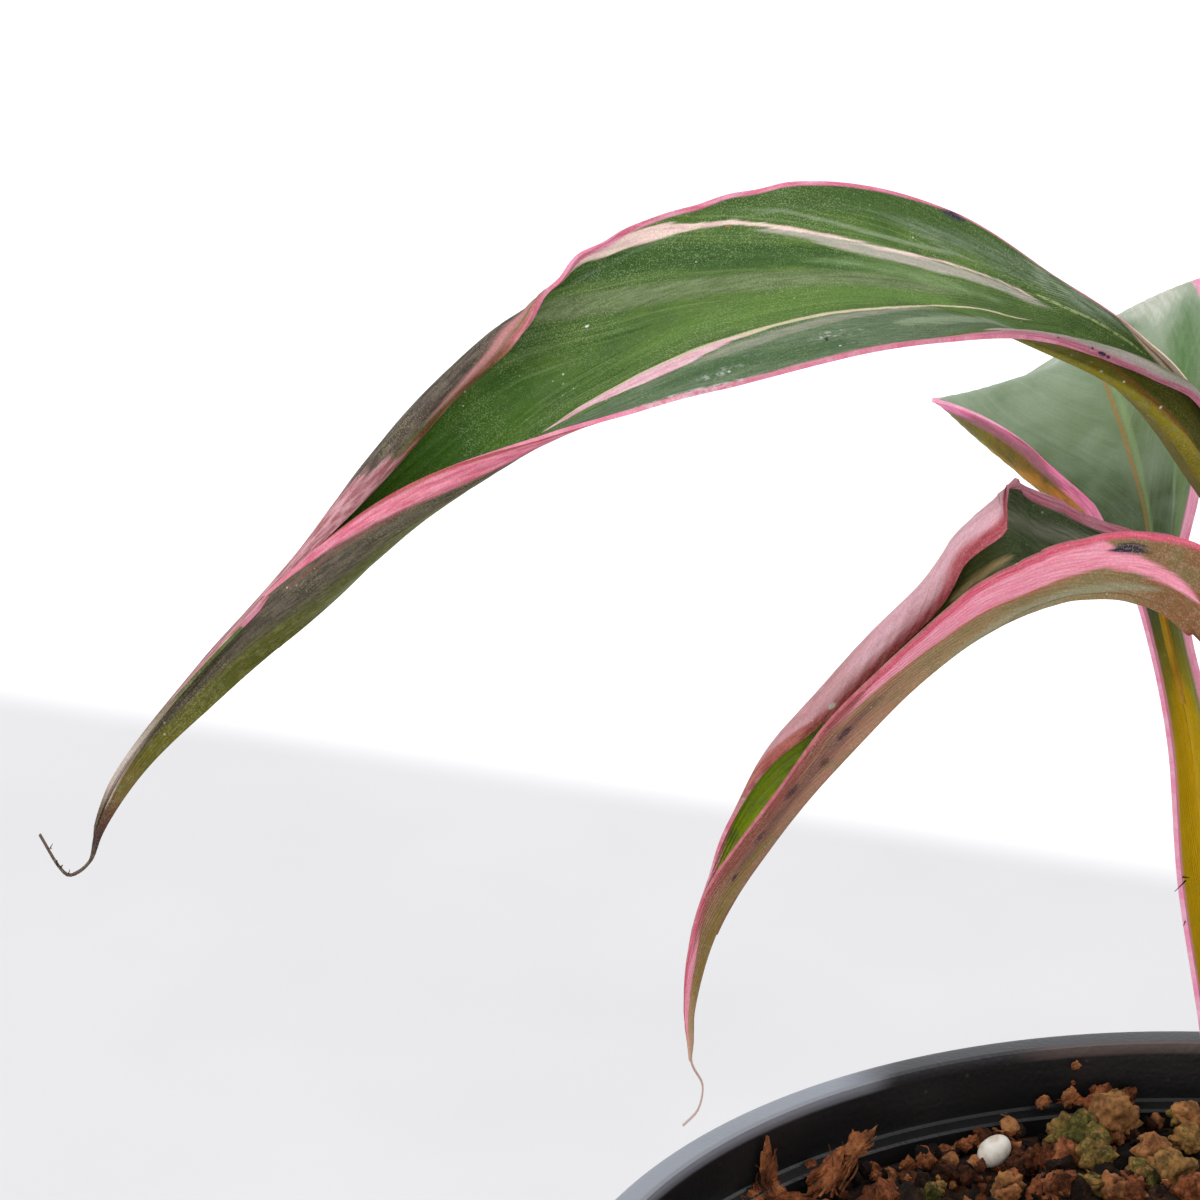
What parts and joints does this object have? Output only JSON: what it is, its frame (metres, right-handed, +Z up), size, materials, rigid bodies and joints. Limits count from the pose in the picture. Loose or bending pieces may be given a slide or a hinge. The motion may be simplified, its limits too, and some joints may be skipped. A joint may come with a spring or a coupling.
{
  "type": "potted plant",
  "caption": "Young banana with arching, folded pink, cream and green leaves and a rolled new leaf, in a round black nursery pot filled with rough soil.",
  "frame": {"origin": "centre of the pot's base underside", "axes": "+Z up along the pot's axis, +X to the right in the picture, +Y away from the camera"},
  "size_m": [0.19, 0.1155, 0.2071],
  "materials": {
    "pot": "satin black",
    "soil": "rough dark coir and bark mix",
    "stem": "satin olive with pink edges",
    "leaf": "satin green with cream and pink stripes",
    "leaf_lower": "satin olive and pink underside",
    "spear": "satin pale green"
  },
  "bodies": {
    "root": {"pot": "pot", "soil": "soil", "pseudostem": "stem", "leaf_1": "leaf", "leaf_2": "leaf_lower", "leaf_3": "leaf", "leaf_4": "leaf", "leaf_5": "leaf", "spear_leaf": "spear"}
  },
  "joints": []
}
